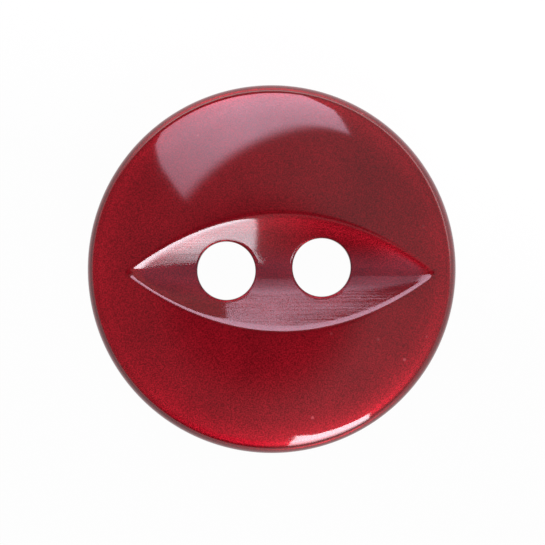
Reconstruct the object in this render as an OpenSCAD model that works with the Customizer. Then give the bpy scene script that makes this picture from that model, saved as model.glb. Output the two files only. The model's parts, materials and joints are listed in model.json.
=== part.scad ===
// Two-hole fish-eye button, turned, milled and drilled from one blank of pearl polyester.
// The back lies on the XY plane, the origin is the middle of the back, and the face looks up +Z.
// The eye runs along X. All lengths are millimetres and all angles are degrees.

/* [Disc] */
// Diameter of the button
button_d = 11.4; // [10.4:0.1:19]
// Radius of the domed face
dome_r = 23; // [16:0.5:60]
// Radius of the shoulder between the domed face and the side
shoulder_r = 0.54; // [0.2:0.02:0.7]
// Height of the straight side
side_h = 0.5; // [0.2:0.05:1.5]
// Radius of the edge between the side and the back
back_edge_r = 0.7; // [0.2:0.05:1.2]

/* [Eye] */
// Length of the eye from point to point
eye_l = 9.4; // [7:0.02:9.5]
// Width of the eye from lip to lip, half way along it
eye_w = 3.58; // [3:0.02:4.4]
// Radius of the milling wheel that sinks the eye
wheel_r = 14.9; // [12:0.1:24]
// Radius of the rounded bottom between the two walls
floor_r = 0.2; // [0.2:0.05:0.7]
// How far the eye lies off the middle of the disc, along its length
eye_shift_x = 0.3; // [-0.3:0.02:0.3]
// How far the eye lies off the middle of the disc, across its length
eye_shift_y = -0.12; // [-0.3:0.02:0.3]

/* [Thread holes] */
// Diameter of each thread hole
hole_d = 1.8; // [1:0.05:2.2]
// Distance between the two hole centres
hole_pitch = 2.95; // [2.5:0.05:4]
// Turn of the row of holes against the eye
hole_turn = 2; // [-3:0.5:3]
// How far the pair of holes lies off the middle of the disc, along X
hole_shift_x = 0.07; // [-0.2:0.01:0.2]
// Width of the bevel round each hole on the back
hole_bevel = 0.12; // [0.05:0.01:0.25]

/* [Hidden] */
$fn = 96;

// How far a cutter runs past the surface that it breaks through
overcut = 1;

// Height that a circle of radius r rises over half of a chord
function sagitta(r, half_chord) = r - sqrt(r * r - half_chord * half_chord);

button_r = button_d / 2;
hole_r = hole_d / 2;

// The shoulder's centre lies a straight side above the back edge, and its arc runs into the dome
shoulder_x = button_r - shoulder_r;
shoulder_z = back_edge_r + side_h;
dome_z = shoulder_z - sqrt(pow(dome_r - shoulder_r, 2) - pow(shoulder_x, 2));
dome_end_x = shoulder_x * dome_r / (dome_r - shoulder_r);
thickness = dome_z + dome_r;

// The wheel sinks until its rim leaves the dome at the eye's two points
eye_depth = sagitta(dome_r, eye_l / 2) + sagitta(wheel_r, eye_l / 2);
floor_z = thickness - eye_depth;

// The dome's centre, the eye's middle and the wheel's centre lie on one line
wheel_z = floor_z + wheel_r;
wheel_x = eye_shift_x * (wheel_z - dome_z) / sqrt(pow(dome_r, 2) - pow(eye_l / 2, 2));

// Each wall runs from the lip straight down to the tangent of the rounded bottom
lip_y = eye_w / 2;
lip_rise = eye_depth - sagitta(dome_r, lip_y) - floor_r;
wall_angle = atan2(lip_rise, lip_y) + asin(floor_r / norm([lip_y, lip_rise]));

// Half section of the blank: domed face, shoulder, straight side, rounded back edge and flat back
module blank_section() {
    intersection() {
        translate([0, dome_z]) circle(r = dome_r);
        square([dome_end_x, thickness + overcut]);
    }
    translate([shoulder_x, shoulder_z]) circle(r = shoulder_r);
    translate([0, back_edge_r]) square([button_r, side_h]);
    translate([button_r - back_edge_r, back_edge_r]) circle(r = back_edge_r);
    square([button_r - back_edge_r, back_edge_r]);
}

module blank() {
    rotate_extrude() blank_section();
}

// Section of the wheel's rim: two straight flanks that meet in a round nose
module wheel_section() {
    nose_x = wheel_r - floor_r;
    flank_x = nose_x + floor_r * cos(wall_angle);
    flank_y = floor_r * sin(wall_angle);
    root_x = wheel_r - eye_depth - overcut;
    root_y = flank_y + (flank_x - root_x) / tan(wall_angle);
    translate([nose_x, 0]) circle(r = floor_r);
    polygon([[root_x, -root_y], [flank_x, -flank_y], [flank_x, flank_y], [root_x, root_y]]);
}

// The wheel's axle lies across the eye, above the face
module milling_wheel() {
    translate([wheel_x, eye_shift_y, wheel_z])
        rotate([90, 0, 0])
            rotate_extrude() wheel_section();
}

module thread_hole() {
    translate([0, 0, -overcut]) cylinder(r = hole_r, h = thickness + 2 * overcut);
    translate([0, 0, -overcut])
        cylinder(r1 = hole_r + hole_bevel + overcut, r2 = hole_r, h = hole_bevel + overcut);
}

module thread_holes() {
    translate([hole_shift_x, 0, 0])
        rotate([0, 0, hole_turn])
            for (side = [-1, 1])
                translate([side * hole_pitch / 2, 0, 0]) thread_hole();
}

module button() {
    color([0.56, 0.09, 0.16])
        difference() {
            blank();
            milling_wheel();
            thread_holes();
        }
}

button();
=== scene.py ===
# %% [markdown]
# # A red two-hole fish-eye button
# The button is one disc of pearl polyester. A lathe turns the disc, a milling wheel sinks the long
# pointed eye across its face, a drill makes the two thread holes, and a tumbling barrel polishes it.
# This lesson follows the same order: first the measures, then the height of the face at any point,
# then one closed mesh that runs over the face, round the rim, along the back and through the holes.
# The pearl, the paper, the lamps and the camera come last.

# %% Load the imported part
import json
import math
import bmesh
import bpy
from mathutils import Matrix, Vector


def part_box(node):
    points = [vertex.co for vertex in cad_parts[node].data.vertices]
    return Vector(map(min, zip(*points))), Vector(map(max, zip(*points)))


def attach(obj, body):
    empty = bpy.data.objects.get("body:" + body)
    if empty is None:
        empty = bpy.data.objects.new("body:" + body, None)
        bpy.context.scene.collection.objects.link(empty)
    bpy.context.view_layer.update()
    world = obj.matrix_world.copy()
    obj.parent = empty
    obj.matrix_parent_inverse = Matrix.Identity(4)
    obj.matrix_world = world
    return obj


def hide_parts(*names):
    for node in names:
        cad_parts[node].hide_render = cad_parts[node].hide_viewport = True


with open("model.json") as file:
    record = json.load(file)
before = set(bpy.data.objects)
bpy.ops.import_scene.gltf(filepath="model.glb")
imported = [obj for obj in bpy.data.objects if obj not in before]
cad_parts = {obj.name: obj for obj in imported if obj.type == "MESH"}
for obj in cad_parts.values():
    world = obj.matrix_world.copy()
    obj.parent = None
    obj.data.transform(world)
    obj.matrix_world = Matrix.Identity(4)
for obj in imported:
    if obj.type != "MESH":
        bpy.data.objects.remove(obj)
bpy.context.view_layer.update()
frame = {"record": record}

MM = 0.001

# %% [markdown]
# ## Measures
# The disc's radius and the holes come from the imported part, so the mesh can't drift away from it.
# The turning and milling radii aren't stored there, so they are written once here, in millimetres,
# with the same names as in the part's source. What the polishing barrel wears away belongs to the
# finish, so those values are only found in this file, each in the cell that first needs it.

# %% Measures of the turned disc
box_low, box_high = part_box("button")
button_r = (box_high.x - box_low.x) / 2
dome_r = 23 * MM
shoulder_r = 0.54 * MM
side_h = 0.5 * MM
back_edge_r = 0.7 * MM

shoulder_x = button_r - shoulder_r
shoulder_z = back_edge_r + side_h
dome_z = shoulder_z - math.sqrt((dome_r - shoulder_r) ** 2 - shoulder_x ** 2)
dome_end_r = shoulder_x * dome_r / (dome_r - shoulder_r)
crown_z = dome_z + dome_r
print("crown of the uncut dome at", round(crown_z / MM, 3), "mm")

# %% Measures of the milled eye
eye_l = 9.4 * MM
eye_w = 3.58 * MM
wheel_r = 14.9 * MM
floor_r = 0.2 * MM
eye_shift_x = 0.3 * MM
eye_shift_y = -0.12 * MM


def sagitta(r, half_chord):
    """Rise of a circle of radius r over half of a chord."""
    return r - math.sqrt(r * r - half_chord * half_chord)


eye_depth = sagitta(dome_r, eye_l / 2) + sagitta(wheel_r, eye_l / 2)
wheel_z = crown_z - eye_depth + wheel_r
wheel_x = eye_shift_x * (wheel_z - dome_z) / math.sqrt(dome_r ** 2 - (eye_l / 2) ** 2)
lip_rise = eye_depth - sagitta(dome_r, eye_w / 2) - floor_r
wall_angle = math.atan2(lip_rise, eye_w / 2) + math.asin(floor_r / math.hypot(eye_w / 2, lip_rise))
print("eye depth", round(eye_depth / MM, 3), "mm")
print("wall slope", round(math.degrees(wall_angle), 1), "degrees")

# %% Measures of the thread holes
bores = {m["name"]: m for m in frame["record"]["mounts"] if m["kind"] == "bore"}
hole_r = bores["left_hole"]["dims"]["r_mm"] * MM
hole_left = Vector(bores["left_hole"]["pos_m"][:2])
hole_right = Vector(bores["right_hole"]["pos_m"][:2])
print("hole pitch", round((hole_right - hole_left).length / MM, 3), "mm")

# %% [markdown]
# ## Height of the face
# The lathe's dome and the wheel's groove are both simple surfaces of revolution, so the height of
# each over any point of the plan is one line of geometry. The polishing barrel takes a little more
# off the dome near its edge, so there the height falls off with the cube of the distance. The
# groove's two straight flanks meet in a hollow, a parabola that runs into them without a bend. It is
# broad in the middle of the eye and shrinks to the wheel's own narrow nose at the two points.

# %% Height of the dome and of the eye
edge_start = 4.5 * MM
edge_fall = 0.048 / MM ** 2
flank = math.tan(wall_angle)
nose_gap = floor_r * (1 / math.cos(wall_angle) - 1)
point_half = 2 * nose_gap / flank
valley_half = 0.66 * MM


def dome_height(x, y):
    """Height of the polished dome."""
    worn = max(math.hypot(x, y) - edge_start, 0)
    return dome_z + math.sqrt(dome_r ** 2 - x * x - y * y) - edge_fall * worn ** 3


def eye_height(x, y):
    """Height of the milled groove, as if it ran on above the dome."""
    across = abs(y - eye_shift_y)
    middle = 1 - min(abs(x - eye_shift_x) / (eye_l / 2), 1) ** 3
    half = point_half + (valley_half - point_half) * middle
    rise = max(across, half) * flank - nose_gap
    if across < half:
        rise -= flank * half * (1 - (across / half) ** 2) / 2
    return wheel_z - math.sqrt((wheel_r - rise) ** 2 - (x - wheel_x) ** 2)


print("dome at the middle", round(dome_height(0, 0) / MM, 3), "mm")
print("eye at the middle", round(eye_height(0, 0) / MM, 3), "mm")

# %% [markdown]
# ## Rounded lip
# The lower of the two heights is the face. The plain minimum would leave a knife edge at the lip,
# where the barrel leaves a narrow round that catches the light along the eye. A bevel could round
# it, but it would pinch at the sharp points. So the two heights are blended by a cubic wherever they
# differ by less than a short length, which fades out by itself at the points.

# %% Height of the face
lip_blend = 0.125 * MM


def face_height(x, y):
    """The lower of dome and eye, with a rounded lip where they meet."""
    dome = dome_height(x, y)
    eye = eye_height(x, y)
    overlap = max(lip_blend - abs(dome - eye), 0) / lip_blend
    return min(dome, eye) - overlap ** 3 * lip_blend / 6


print("face at the middle", round(face_height(0, 0) / MM, 3), "mm")

# %% [markdown]
# ## Plan of the mesh
# Reflections show every careless face. A plain grid would be easy, but its rows would cross the lip
# and the holes, so the rows here follow the button's own lines: the hole edges, the lip of the eye
# and the rim. Each hole sends out spokes. A line half way between the holes splits the eye in two,
# so that every spoke of a hole ends either on the lip or on that line.

# %% Find the lip
split_x = (hole_left.x + hole_right.x) / 2
halvings = 48


def lip_along(start, direction):
    """Point where the dome and the eye meet, looking from a start inside the eye."""
    near = 0.0
    far = button_r
    for _ in range(halvings):
        middle = (near + far) / 2
        point = start + direction * middle
        if point.length < dome_end_r and eye_height(*point) < dome_height(*point):
            near = middle
        else:
            far = middle
    return start + direction * near


eye_middle = Vector((eye_shift_x, eye_shift_y))
split_middle = Vector((split_x, eye_shift_y))
tip_right = lip_along(eye_middle, Vector((1, 0)))
tip_left = lip_along(eye_middle, Vector((-1, 0)))
lip_top = lip_along(split_middle, Vector((0, 1)))
lip_bottom = lip_along(split_middle, Vector((0, -1)))
print("eye length", round((tip_right - tip_left).length / MM, 3), "mm")

# %% Points where the spokes end
quarter_steps = 72
split_steps = 56
tip_gather = 1.25


def turn_between(a, b):
    """Signed angle from direction a to direction b."""
    return math.atan2(a.x * b.y - a.y * b.x, a.dot(b))


def lip_quarter(hole, tip, corner):
    """Lip points from a tip of the eye to a corner on the split line, gathered at the tip."""
    first = tip - hole
    sweep = turn_between(first, corner - hole)
    start = math.atan2(first.y, first.x)
    points = [tip]
    for step in range(1, quarter_steps):
        angle = start + sweep * (step / quarter_steps) ** tip_gather
        points.append(lip_along(hole, Vector((math.cos(angle), math.sin(angle)))))
    return points


def split_line(top, bottom):
    """Points down the split line, from its top to its bottom."""
    return [top.lerp(bottom, step / split_steps) for step in range(split_steps)] + [bottom]


def spoke_ends(hole, tip):
    """Ends of all the spokes of one hole, in order round it, starting at the tip of the eye."""
    upper = lip_quarter(hole, tip, lip_top)
    lower = lip_quarter(hole, tip, lip_bottom)
    return upper + split_line(lip_top, lip_bottom) + lower[:0:-1]


ends_right = spoke_ends(hole_right, tip_right)
ends_left = spoke_ends(hole_left, tip_left)
print("spokes per hole:", len(ends_right))

# %% [markdown]
# ## Growing the face
# A boolean cut would be quick, but it leaves thin slivers along the lip and round the holes. Here
# each hole starts as a circle. Extruding a closed loop of edges and setting the new vertices in
# their places adds one row of faces, as when an edge ring is pulled out by hand. The rows are
# packed closely at the lip, where the surface bends most, and wider on the plain wall.

# %% Extrude a loop into the next row
bm = bmesh.new()


def loop_edges(loop):
    """The edges of a closed loop of vertices."""
    return [bm.edges.get((loop[i - 1], loop[i])) for i in range(len(loop))]


def grow(loop, places):
    """Extrude a closed loop of vertices, set the new loop in its places and return it."""
    rank = {vert: i for i, vert in enumerate(loop)}
    pulled = bmesh.ops.extrude_edge_only(bm, edges=loop_edges(loop))["geom"]
    row = [None] * len(loop)
    for vert in (g for g in pulled if isinstance(g, bmesh.types.BMVert)):
        source = next(e.other_vert(vert) for e in vert.link_edges if e.other_vert(vert) in rank)
        row[rank[source]] = vert
    for vert, place in zip(row, places):
        vert.co = place
    return row


def on_face(point):
    """A point of the plan, lifted to the face."""
    return Vector((point.x, point.y, face_height(point.x, point.y)))


# %% Grow the eye's two halves from the hole edges to the lip
mouth_margin = 0.12 * MM
eye_rows = 24
end_packing = 0.7


def packed(t):
    """Fraction t of a spoke, with rows packed at both of its ends."""
    return t - end_packing * math.sin(2 * math.pi * t) / (2 * math.pi)


def hole_ring(hole, ends, radius):
    """Points on a circle round a hole, one on each spoke."""
    return [hole + (end - hole).normalized() * radius for end in ends]


def eye_half(hole, ends):
    """Half of the eye round one hole: returns the hole's edge loop and the outermost loop."""
    mouth = bmesh.ops.create_circle(bm, cap_ends=False, segments=len(ends), radius=hole_r)["verts"]
    for vert, point in zip(mouth, hole_ring(hole, ends, hole_r)):
        vert.co = on_face(point)
    first = hole_ring(hole, ends, hole_r + mouth_margin)
    loop = grow(mouth, [on_face(point) for point in first])
    for row in range(1, eye_rows + 1):
        share = packed(row / eye_rows)
        loop = grow(loop, [on_face(a.lerp(b, share)) for a, b in zip(first, ends)])
    return mouth, loop


mouth_right, lip_right = eye_half(hole_right, ends_right)
mouth_left, lip_left = eye_half(hole_left, ends_left)
print("faces in the two halves:", len(bm.faces))

# %% Weld the halves along the split line
first_split = quarter_steps
last_split = quarter_steps + split_steps
seam = {lip_left[i]: lip_right[i] for i in range(first_split, last_split + 1)}
bmesh.ops.weld_verts(bm, targetmap=seam)
print("welded vertices:", len(seam))

# %% [markdown]
# ## Dome, shoulder, side and back edge
# The two halves now share one outline, the lip. It grows out over the dome to the circle where the
# shoulder starts, and then follows the turned section round the rim to the flat back. The rim
# points are spread evenly round the disc, so the rows change smoothly from the lens to the circle.
# A spin would make the rim alone, but then its rows wouldn't meet those of the dome.

# %% Follow the lip round the eye, and give each point its place on the rim
lip_loop = (lip_right[:first_split + 1] + lip_left[first_split - 1::-1]
            + lip_left[:last_split:-1] + lip_right[last_split:])
top_angle = math.acos(split_x / button_r)
right_angles = [top_angle * i / quarter_steps for i in range(quarter_steps + 1)]
left_angles = [math.pi - (math.pi - top_angle) * i / quarter_steps for i in range(quarter_steps)]
rim_angles = (right_angles + left_angles[::-1]
              + [-a for a in left_angles[1:]] + [-a for a in right_angles[:0:-1]])
print("points round the rim:", len(rim_angles))

# %% Grow the dome
dome_rows = 44
lip_packing = 1.7


def circle_point(angle, radius, z=0.0):
    """A point on a circle round the button's axis."""
    return Vector((radius * math.cos(angle), radius * math.sin(angle), z))


lip_points = [vert.co.xy for vert in lip_loop]
dome_ends = [circle_point(a, dome_end_r).xy for a in rim_angles]
loop = lip_loop
for row in range(1, dome_rows + 1):
    share = (row / dome_rows) ** lip_packing
    loop = grow(loop, [on_face(a.lerp(b, share)) for a, b in zip(lip_points, dome_ends)])
print("faces up to the shoulder:", len(bm.faces))

# %% Section of the polished shoulder: a Bezier curve from the dome's slope to the upright side
shoulder_rows = 16
dome_handle = 0.27 * MM
side_handle = 0.20 * MM
dome_fall = dome_end_r / math.sqrt(dome_r ** 2 - dome_end_r ** 2)
dome_fall += 3 * edge_fall * (dome_end_r - edge_start) ** 2
start = Vector((dome_end_r, dome_height(dome_end_r, 0)))
end = Vector((button_r, shoulder_z))
outward = start + Vector((1, -dome_fall)).normalized() * dome_handle
upward = end + Vector((0, side_handle))
section = []
for row in range(1, shoulder_rows + 1):
    t = row / shoulder_rows
    a = start.lerp(outward, t)
    b = outward.lerp(upward, t)
    c = upward.lerp(end, t)
    section.append(tuple(a.lerp(b, t).lerp(b.lerp(c, t), t)))
print("slope where the shoulder starts:", round(dome_fall, 3))

# %% Section of the side and of the rounded back edge, and the rim that grows along it
back_edge_rows = 10
section.append((button_r, shoulder_z - side_h / 2))
for row in range(back_edge_rows + 1):
    tilt = math.pi / 2 * (1 + row / back_edge_rows)
    radius = button_r - back_edge_r * (1 - math.sin(tilt))
    section.append((radius, back_edge_r * (1 + math.cos(tilt))))
for radius, z in section:
    loop = grow(loop, [circle_point(a, radius, z) for a in rim_angles])
back_rim = loop
print("faces on face and rim:", len(bm.faces))

# %% [markdown]
# ## Holes and back
# From the edge of each hole the mesh goes straight down to the back, and there it spreads out over
# the flat back until it meets the rim. One big face with two holes would do for a flat back, but
# Blender can't keep such a face. So the back is split along the same line as the eye, both holes get
# half of it, and the last rows are welded to the rim and to each other.

# %% Where the spokes on the back end
back_r = button_r - back_edge_r
back_top = Vector((split_x, math.sqrt(back_r ** 2 - split_x ** 2)))
back_bottom = Vector((back_top.x, -back_top.y))
back_split = split_line(back_top, back_bottom)


def rim_run(first, count):
    """Vertices along the back's rim, counted round from the first one."""
    return [back_rim[(first + step) % len(back_rim)] for step in range(count)]


right_upper = rim_run(0, quarter_steps)
right_lower = rim_run(3 * quarter_steps + 1, quarter_steps - 1)
left_upper = rim_run(quarter_steps + 1, quarter_steps)[::-1]
left_lower = rim_run(2 * quarter_steps + 1, quarter_steps - 1)[::-1]
print("vertices round the back:", len(back_rim))

# %% Drill down and spread over the back
wall_rows = 4
back_rows = 7
back_margin = 0.16 * MM


def back_half(hole, mouth, upper, lower):
    """Wall of one hole and its half of the back: returns the wall's lower end and the outermost loop."""
    wall_end = mouth
    for row in range(1, wall_rows + 1):
        share = 1 - row / wall_rows
        wall_end = grow(wall_end, [Vector((v.co.x, v.co.y, v.co.z * share)) for v in mouth])
    first = [hole + (v.co.xy - hole).normalized() * (hole_r + back_margin) for v in mouth]
    ends = [v.co.xy for v in upper] + back_split + [v.co.xy for v in lower]
    loop = grow(wall_end, [point.to_3d() for point in first])
    for row in range(1, back_rows + 1):
        share = row / back_rows
        loop = grow(loop, [a.lerp(b, share).to_3d() for a, b in zip(first, ends)])
    return wall_end, loop


wall_end_right, back_right = back_half(hole_right, mouth_right, right_upper, right_lower)
wall_end_left, back_left = back_half(hole_left, mouth_left, left_upper, left_lower)
print("faces with holes and back:", len(bm.faces))

# %% Weld the back to the rim and along the split line
corner_top = back_rim[quarter_steps]
corner_bottom = back_rim[3 * quarter_steps]
meet = {}
for outer, upper, lower in ((back_right, right_upper, right_lower),
                            (back_left, left_upper, left_lower)):
    meet.update(zip(outer[:quarter_steps], upper))
    meet.update(zip(outer[last_split + 1:], lower))
    meet[outer[first_split]] = corner_top
    meet[outer[last_split]] = corner_bottom
for i in range(first_split + 1, last_split):
    meet[back_left[i]] = back_right[i]
bmesh.ops.weld_verts(bm, targetmap=meet)
open_edges = [e for e in bm.edges if len(e.link_faces) != 2]
print("open edges:", len(open_edges))

# %% [markdown]
# ## Polished hole edges
# A drill leaves a sharp edge, and the tumbling barrel rounds it. A bevel with several segments and
# a profile of 0.5 is that round edge. It needs some free width on both sides, which is why the
# first row round each hole was set a little away from it.

# %% Bevel the mouths and the back edges of the holes
mouth_round = 0.075 * MM
back_round = 0.12 * MM


def round_off(loops, radius):
    """Bevel the edges of closed loops into round ones."""
    edges = [edge for loop in loops for edge in loop_edges(loop)]
    bmesh.ops.bevel(bm, geom=edges, offset=radius, offset_type="OFFSET", affect="EDGES", segments=4,
                    profile=0.5, material=-1, clamp_overlap=True)


round_off((mouth_right, mouth_left), mouth_round)
round_off((wall_end_right, wall_end_left), back_round)
print("faces after rounding:", len(bm.faces))

# %% [markdown]
# ## One closed skin
# The button is one solid thing, so its mesh is one closed skin with all faces outwards. The cut
# eye is finished otherwise than the turned dome, so each vertex is marked with how deep it is sunk
# below the dome, in millimetres. Two materials would meet in a hard line, and a mask drawn from
# coordinates would have to repeat the milling. The mark lets one material change over smoothly.

# %% Turn the faces outwards and mark how deep each vertex is sunk
bmesh.ops.recalc_face_normals(bm, faces=bm.faces)
sunk = bm.verts.layers.float.new("sunk")
for vert in bm.verts:
    x, y, z = vert.co
    depth = -MM
    if vert.co.xy.length < dome_end_r and z > back_edge_r:
        depth = max(dome_height(x, y) - eye_height(x, y), -MM)
    vert[sunk] = depth / MM
print("deepest mark:", round(max(vert[sunk] for vert in bm.verts), 3), "mm")

# %% Make the piece
for face in bm.faces:
    face.smooth = True
volume = bm.calc_volume(signed=True)
mesh = bpy.data.meshes.new("pearl_button")
bm.to_mesh(mesh)
bm.free()
button = bpy.data.objects.new("pearl_button", mesh)
bpy.context.collection.objects.link(button)
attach(button, "root")
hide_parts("button")
print("triangles:", sum(len(p.vertices) - 2 for p in mesh.polygons))
print("volume", round(volume / MM ** 3, 1), "mm3")

# %% [markdown]
# ## Pearl polyester
# The red is a host of fine pearl flakes in a clear resin. A plain red plastic would look like paint.
# So the base is partly metallic with a broad gloss, which stands for the flakes, and the polished
# resin above it is a clear coat with sharp mirror images. Every pattern reads Object coordinates,
# the normal or the mark of depth, so it stays on the button in any view. A material is a tree of
# nodes, and a few small helpers keep its cells short. A socket knows its tree, as id_data, so the
# helpers also serve the paper, the room and the lamps.

# %% Helpers for values
def feed(socket, value):
    """Feed an input from another node's output, or set it to a plain number or vector."""
    if isinstance(value, bpy.types.NodeSocket):
        socket.id_data.links.new(value, socket)
    else:
        socket.default_value = value


def maths(operation, a, b=0.0):
    """A Math node on an output and a second value."""
    node = a.id_data.nodes.new("ShaderNodeMath")
    node.operation = operation
    feed(node.inputs[0], a)
    feed(node.inputs[1], b)
    return node.outputs["Value"]


def product(first, *others):
    """Outputs multiplied with each other."""
    for other in others:
        first = maths("MULTIPLY", first, other)
    return first


def spread(value, span, result, way="SMOOTHSTEP"):
    """Map a value from one span to another, and no further than its ends."""
    node = value.id_data.nodes.new("ShaderNodeMapRange")
    node.interpolation_type = way
    node.inputs["From Min"].default_value, node.inputs["From Max"].default_value = span
    node.inputs["To Min"].default_value, node.inputs["To Max"].default_value = result
    feed(node.inputs["Value"], value)
    return node.outputs["Result"]


# %% Helpers for vectors and colours
def vector_maths(operation, a, b):
    """A Vector Math node on an output and a second vector."""
    node = a.id_data.nodes.new("ShaderNodeVectorMath")
    node.operation = operation
    feed(node.inputs[0], a)
    feed(node.inputs[1], b)
    return node.outputs["Value" if operation == "DOT_PRODUCT" else "Vector"]


def scaled(colour, value):
    """A colour or vector multiplied by a value."""
    node = value.id_data.nodes.new("ShaderNodeVectorMath")
    node.operation = "SCALE"
    feed(node.inputs[0], colour)
    feed(node.inputs["Scale"], value)
    return node.outputs["Vector"]


def axes_of(vector):
    """The X, Y and Z of a vector, by name."""
    node = vector.id_data.nodes.new("ShaderNodeSeparateXYZ")
    feed(node.inputs["Vector"], vector)
    return node.outputs


# %% What the pearl knows of a point: its place, how upright its normal is and how deep it is sunk
pearl = bpy.data.materials.new("pearl_polyester")
pearl.use_nodes = True
pearl_nodes = pearl.node_tree.nodes
shader = pearl_nodes["Principled BSDF"]
coordinates = pearl_nodes.new("ShaderNodeTexCoord")
place = coordinates.outputs["Object"]
normal = coordinates.outputs["Normal"]
upright = maths("ABSOLUTE", axes_of(normal)["Z"])
mark = pearl_nodes.new("ShaderNodeAttribute")
mark.attribute_name = "sunk"
sunk_mm = mark.outputs["Fac"]
print("mark read by the pearl:", mark.attribute_name)

# %% [markdown]
# ## Colour of the flakes
# The pearl isn't one red. Single flakes show as fine grain, the pour of the sheet as slow clouds, and
# here and there a flake stands up and shows as a pale speck. An image texture would need a picture and a
# seam, and noise on Object coordinates needs neither. On top of that the red is painted darker on the
# flat crown and at the steep edge, as painted shade, and painted brighter on the walls of the eye, as a
# painted glow.

# %% Fine grain, slow clouds and a few pale specks
grain_scale = 24000
cloud_scale = 500
speck_scale = 1400
noise_span = (0.3, 0.7)


def noise(scale, detail, stretch=(1, 1, 1)):
    """Noise on the button: scale counts grains per metre, stretch multiplies it per axis."""
    mapping = pearl_nodes.new("ShaderNodeMapping")
    mapping.inputs["Scale"].default_value = stretch
    node = pearl_nodes.new("ShaderNodeTexNoise")
    node.inputs["Scale"].default_value = scale
    node.inputs["Detail"].default_value = detail
    feed(mapping.inputs["Vector"], place)
    feed(node.inputs["Vector"], mapping.outputs["Vector"])
    return node.outputs["Fac"]


grain = spread(noise(grain_scale, 2), noise_span, (0.6, 1.4))
clouds = spread(noise(cloud_scale, 3), noise_span, (0.92, 1.08))
cells = pearl_nodes.new("ShaderNodeTexVoronoi")
cells.inputs["Scale"].default_value = speck_scale
feed(cells.inputs["Vector"], place)
chance = pearl_nodes.new("ShaderNodeSeparateColor")
feed(chance.inputs["Color"], cells.outputs["Color"])
close_by = spread(cells.outputs["Distance"], (0.1, 0.03), (0, 1))
few = spread(chance.outputs["Red"], (0.4, 0.9), (0, 1))
specks = product(close_by, few)
print("grains per mm:", grain_scale * MM, " speck cells per mm:", round(speck_scale * MM, 1))

# %% Depth of the red over the button, with painted shade and a painted glow
pearl_red = (0.332, 0.0068, 0.015)
speck_red = (0.26, 0.09, 0.09)
# Painted shade: the flat crown and the steep edge are painted darker.
painted_crown_shade = spread(upright, (0.995, 0.955), (0.9, 1.0))
painted_edge_shade = spread(upright, (0.80, 0.60), (1, 0.5))
# Painted glow: the walls of the eye are painted brighter, as if lit.
painted_eye_glow = spread(sunk_mm, (-0.05, 0.12), (1, 1.28))
# The grain and clouds are the pearl's own; the two shades and the glow are painted light.
grain_and_painted_shade = product(grain, clouds, painted_crown_shade, painted_edge_shade, painted_eye_glow)
red = vector_maths("ADD", scaled(pearl_red, grain_and_painted_shade), scaled(speck_red, specks))
print("red of the pearl:", pearl_red)

# %% [markdown]
# ## Polish
# The pegs of the polishing barrel reach all of the dome and the lip, but not the bottom of the narrow
# eye, so the resin there stays a little dull. One mask, made from the depth and from the distance to the
# eye's middle line, thins the coat there. The same mask paints the red darker there, as painted shade,
# and adds a pale veil to the colour, a painted sheen that stands in for the dull resin's blurred
# reflection.

# %% Complete on the dome and the lip, thin in the bottom of the eye, with painted shade and a painted sheen there
valley_polish = 0.15
valley_painted_shade = 0.8
valley_painted_sheen = (0.01, 0.042, 0.05)
across_eye = maths("ABSOLUTE", maths("SUBTRACT", axes_of(place)["Y"], eye_shift_y))
along_valley = spread(across_eye, (0.15 * MM, 1.0 * MM), (1, 0))
below_lip = spread(sunk_mm, (0.05, 0.2), (0, 1))
unpolished_and_painted_valley = product(along_valley, below_lip)
# Painted shade and sheen: the red is painted darker in the bottom of the eye and a pale veil is painted
# over it.
painted_shade_red = scaled(red, spread(unpolished_and_painted_valley, (0, 1), (1, valley_painted_shade)))
painted_sheen = scaled(valley_painted_sheen, unpolished_and_painted_valley)
feed(shader.inputs["Base Color"], vector_maths("ADD", painted_shade_red, painted_sheen))
feed(shader.inputs["Coat Weight"], spread(unpolished_and_painted_valley, (0, 1), (1, valley_polish)))
print("coat in the valley:", valley_polish)

# %% [markdown]
# ## Lean of the flakes
# The flakes settled flat while the sheet was cast, so they lie parallel to the back and not along
# the turned face. Seen through the sloping resin, a flake that lies flat seems to lean the other
# way, by about half of the slope. So the base leans its normal against the slope, which puts the red
# glow on the side away from a light. The sheet wasn't quite level when it set, which adds a tilt to
# one side. Under the lip the lean is less, and at the steep edge the flakes follow the side.

# %% Lean the normal of the base
flat_lean = -0.54
lip_lean = -0.13
sheet_tilt = (-0.11, 0.03, 0)


def in_world(direction):
    """A direction on the button, turned to the world's axes, as a shader's normal has to be."""
    node = direction.id_data.nodes.new("ShaderNodeVectorTransform")
    node.vector_type = "NORMAL"
    node.convert_from = "OBJECT"
    node.convert_to = "WORLD"
    feed(node.inputs["Vector"], direction)
    return node.outputs["Vector"]


on_dome = spread(sunk_mm, (-0.15, 0.05), (1, 0))
flat_part = product(spread(upright, (0.88, 0.74), (flat_lean, 0)), on_dome)
inside_lip = spread(sunk_mm, (-0.1, 0.1), (0, 1))
lip_part = product(inside_lip, spread(sunk_mm, (0.15, 0.55), (lip_lean, 0)))
steep_part = spread(upright, (0.76, 0.45), (0, 1))
lean = maths("ADD", maths("ADD", flat_part, lip_part), steep_part)
sideways = scaled(vector_maths("MULTIPLY", normal, (1, 1, 0)), lean)
upwards = vector_maths("MULTIPLY", normal, (0, 0, 1))
leaned = vector_maths("ADD", sideways, upwards)
tilted = vector_maths("ADD", leaned, scaled(sheet_tilt, flat_part))
feed(shader.inputs["Normal"], in_world(tilted))
print("lean on the dome:", flat_lean, " under the lip:", lip_lean)

# %% [markdown]
# ## Milling marks
# The wheel leaves fine grooves along the eye. As geometry they would need millions of faces. They
# are too fine to be seen one by one, but they blur mirror images across the eye and not along it.
# So noise that is drawn out along the eye tilts the normal of the coat to and fro across it.

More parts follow.
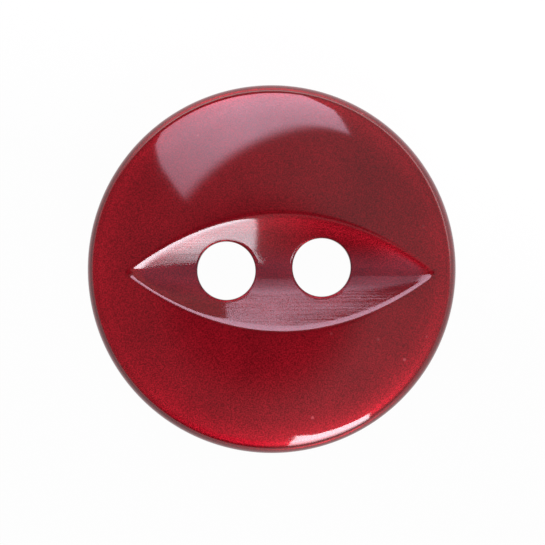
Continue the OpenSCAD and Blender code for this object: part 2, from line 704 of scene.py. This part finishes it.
# %% Tilt the normal of the coat in the eye
groove_tilt = 0.3
groove_scale = 300000
groove_stretch = (0.0006, 1, 0)
noise_middle = 0.5
milled = spread(sunk_mm, (0.03, 0.15), (0, groove_tilt))
to_and_fro = maths("SUBTRACT", noise(groove_scale, 0, groove_stretch), noise_middle)
grooved = vector_maths("ADD", normal, scaled((0, 1, 0), product(to_and_fro, milled)))
feed(shader.inputs["Coat Normal"], in_world(grooved))
print("grooves per mm:", groove_scale * MM)

# %% [markdown]
# ## Gloss
# The flakes scatter light over a broad angle, and a little more near the rim, where they lie less
# evenly. The resin is polished and mirrors sharply. Values that are the same all over are set on the
# shader's own sockets, because an export keeps those and drops some of the linked ones.

# %% Gloss of flakes and resin
flake_scale = 900
flake_gloss = spread(noise(flake_scale, 2), noise_span, (0.285, 0.315))
uneven = product(spread(upright, (0.99, 0.94), (0, 0.11)), on_dome)
feed(shader.inputs["Roughness"], maths("ADD", flake_gloss, uneven))
shader.inputs["Metallic"].default_value = 0.75
shader.inputs["Specular IOR Level"].default_value = 0.0
shader.inputs["Coat Roughness"].default_value = 0.06
shader.inputs["Coat IOR"].default_value = 1.58
button.data.materials.append(pearl)
print("nodes in the pearl:", len(pearl_nodes))

# %% [markdown]
# ## White paper
# The button lies on a sheet of white paper that runs up behind it like a studio sweep. In the picture
# the paper is plain white. More light would wash out the red, so Light Path shows the white to the
# camera, through the holes and in mirror images. The matte paper that lights the button has painted
# light in its colour: it is painted darker in front of the button and brighter behind it, as if lit more
# from behind. A lens that looks up from below sees through the paper, so that it shows the back.

# %% Lay the sheet just below the back
floor_half = 0.6
paper_gap = 0.01 * MM
floor_mesh = bpy.data.meshes.new("paper")
sheet = bmesh.new()
bmesh.ops.create_grid(sheet, x_segments=1, y_segments=1, size=floor_half,
                      matrix=Matrix.Translation((0, 0, -paper_gap)))
sheet.to_mesh(floor_mesh)
sheet.free()
floor = bpy.data.objects.new("paper", floor_mesh)
bpy.context.collection.objects.link(floor)
print("paper of", 2 * floor_half, "m a side")

# %% Matte paper, with painted light: brighter behind the button and darker in front
sweep_side = (0.35, 0.94, 0)
paper = bpy.data.materials.new("paper")
paper.use_nodes = True
paper_nodes = paper.node_tree.nodes
paper_nodes.remove(paper_nodes["Principled BSDF"])
spot = paper_nodes.new("ShaderNodeTexCoord")
behind = vector_maths("DOT_PRODUCT", spot.outputs["Object"], sweep_side)
matte = paper_nodes.new("ShaderNodeBsdfDiffuse")
# Painted light: the paper's colour is painted brighter behind the button and darker in front, as if lit
# more from behind.
feed(matte.inputs["Color"], spread(behind, (1 * MM, 6 * MM), (0.25, 0.95), "LINEAR"))
floor.data.materials.append(paper)
print("brighter towards", sweep_side)

# %% Plain white for the lens and mirror images, and nothing for a lens below
paper_white = 0.98
mirror_white = 0.8


def mixed(share, first, second):
    """A share of the second shader over the first."""
    node = share.id_data.nodes.new("ShaderNodeMixShader")
    feed(node.inputs["Fac"], share)
    feed(node.inputs[1], first)
    feed(node.inputs[2], second)
    return node.outputs["Shader"]


path = paper_nodes.new("ShaderNodeLightPath")
seen = maths("MAXIMUM", path.outputs["Is Camera Ray"], path.outputs["Is Transmission Ray"])
mirrored = maths("MULTIPLY", path.outputs["Is Glossy Ray"], mirror_white)
whiteness = maths("MULTIPLY", maths("MAXIMUM", seen, mirrored), paper_white)
white = paper_nodes.new("ShaderNodeEmission")
white.inputs["Strength"].default_value = 1.0
from_above = mixed(whiteness, matte.outputs["BSDF"], white.outputs["Emission"])
side = paper_nodes.new("ShaderNodeNewGeometry")
clear = paper_nodes.new("ShaderNodeBsdfTransparent")
from_below = product(side.outputs["Backfacing"], path.outputs["Is Camera Ray"])
one_sided = mixed(from_below, from_above, clear.outputs["BSDF"])
feed(paper_nodes["Material Output"].inputs["Surface"], one_sided)
print("nodes in the paper:", len(paper_nodes))

# %% [markdown]
# ## Room
# The clear coat mirrors whatever is round it, so an even grey world would make the dome look flat.
# The room is dim, darkest straight above, where the camera hangs, and in front on the left, and
# paler on the right. Low down behind the button the lit paper sweep shows as a bright band, which
# the steep rim mirrors. The lens itself sees plain white.

# %% Dim room with a bright paper sweep
dark_axis = Vector((-0.03, -0.08, 1)).normalized()
room = bpy.data.worlds.new("room")
bpy.context.scene.world = room
room.use_nodes = True
room_nodes = room.node_tree.nodes
towards = room_nodes.new("ShaderNodeTexCoord").outputs["Generated"]
compass = axes_of(towards)
above = spread(vector_maths("DOT_PRODUCT", towards, dark_axis), (0.985, 0.945), (0.08, 1))
right = spread(compass["X"], (-0.35, 0.3), (0.12, 0.42))
front = spread(compass["Y"], (-0.55, -0.85), (1, 0.1))
front_right = spread(compass["X"], (-0.15, 0.08), (0, 0.9))
walls = product(above, right, maths("MAXIMUM", front, front_right))
low_down = spread(compass["Z"], (0.2, 0.06), (0, 3))
at_sweep = spread(vector_maths("DOT_PRODUCT", towards, sweep_side), (0.1, 0.6), (0, 1))
level = maths("MAXIMUM", walls, product(low_down, at_sweep))
room_path = room_nodes.new("ShaderNodeLightPath")
strength = room_nodes.new("ShaderNodeMix")
strength.data_type = "FLOAT"
feed(strength.inputs["Factor"], room_path.outputs["Is Camera Ray"])
feed(strength.inputs["A"], level)
strength.inputs["B"].default_value = 1.0
room_nodes["Background"].inputs["Color"].default_value = (1, 1, 1, 1)
feed(room_nodes["Background"].inputs["Strength"], strength.outputs["Result"])
print("nodes in the room:", len(room_nodes))

# %% [markdown]
# ## Softboxes
# Two tall softboxes light the button: a large one behind it to the left and a brighter one in front
# to the right. Their mirror images are what shows that the face is domed. A small lamp would only
# make a dot, so each one is an area lamp, placed and sized as it shows in the mirror. A softbox is
# dimmer towards its ends, and a round shade overhead covers the near end of the large one, which
# gives its image the curved lower edge.

# %% Brightness over a softbox
def softbox_strength(lamp_nodes, fades, shade):
    """Fades run from a share at one end to full at full_at; a shade hides what lies near its axis."""
    point = lamp_nodes.new("ShaderNodeNewGeometry")
    across_down = axes_of(point.outputs["Parametric"])
    shares = []
    for axis, end, full_at, share in fades:
        shares.append(spread(across_down[axis], (end, full_at), (share, 1), "LINEAR"))
    if shade:
        axis, covered, free = shade
        towards = vector_maths("NORMALIZE", point.outputs["Position"], (0, 0, 0))
        aligned = vector_maths("DOT_PRODUCT", towards, Vector(axis).normalized())
        shares.append(spread(aligned, (covered, free), (0, 1)))
    return product(*shares)


# %% Make and place the softboxes
lamp_reach = 1.5


def softbox(name, middle, across, down, radiance, colour, fades, shade=None):
    """A rectangular lamp: its middle, its width and its height as vectors, in units of lamp_reach."""
    middle = Vector(middle) * lamp_reach
    across = Vector(across) * lamp_reach
    down = Vector(down) * lamp_reach
    lamp = bpy.data.lights.new(name, "AREA")
    lamp.shape = "RECTANGLE"
    lamp.size = across.length
    lamp.size_y = down.length
    lamp.energy = math.pi * radiance * lamp.size * lamp.size_y
    lamp.color = colour
    lamp.use_nodes = True
    lamp_nodes = lamp.node_tree.nodes
    feed(lamp_nodes["Emission"].inputs["Strength"], softbox_strength(lamp_nodes, fades, shade))
    away = across.cross(down).normalized()
    if away.dot(middle) < 0:
        away = -away
    sideways = across.normalized()
    turn = Matrix((sideways, away.cross(sideways), away)).transposed().to_4x4()
    holder = bpy.data.objects.new(name, lamp)
    holder.matrix_world = Matrix.Translation(middle) @ turn
    holder.visible_camera = False
    bpy.context.collection.objects.link(holder)
    print(name, "size", [round(length, 3) for length in (lamp.size, lamp.size_y)], "m")


softbox("back_softbox", middle=(-0.0373, 0.458, 0.7343), across=(0.5174, 0.3205, 0.0286),
        down=(-0.15, 0.3255, -0.9336), radiance=6.5, colour=(1, 0.72, 0.94),
        fades=(("Y", 0, 0.5, 0.5), ("Y", 1, 0.68, 0.85), ("X", 0, 0.4, 0.6)),
        shade=((0.17, -0.11, 0.979), 0.878, 0.860))
softbox("front_softbox", middle=(0.4435, -0.958, 0.54), across=(0.721, -0.507, -0.05),
        down=(0, 0, -0.92), radiance=15, colour=(0.9, 0.92, 1), fades=(("Y", 0, 0.4, 0.15),))

# %% [markdown]
# ## Camera
# The camera looks straight down on the face. Its lens is worked out from the share of the picture's
# width that the disc takes up, so the height can be chosen freely: from far away the rim shows
# without distortion.

# %% Camera straight above the face
picture_px = 545
disc_px = 368
view_width = picture_px * 2 * button_r / disc_px
camera_x = 0.024 * MM
camera_y = -0.105 * MM
camera_height = 0.35
sensor = 36
lens_data = bpy.data.cameras.new("camera")
lens_data.sensor_width = sensor
lens_data.lens = sensor * camera_height / view_width
lens_data.clip_start = 0.01
camera = bpy.data.objects.new("camera", lens_data)
camera.location = (camera_x, camera_y, shoulder_z + camera_height)
bpy.context.collection.objects.link(camera)
bpy.context.scene.camera = camera
bpy.context.scene.view_settings.view_transform = "Standard"
print("view width", round(view_width / MM, 2), "mm, lens", round(lens_data.lens, 1), "mm")
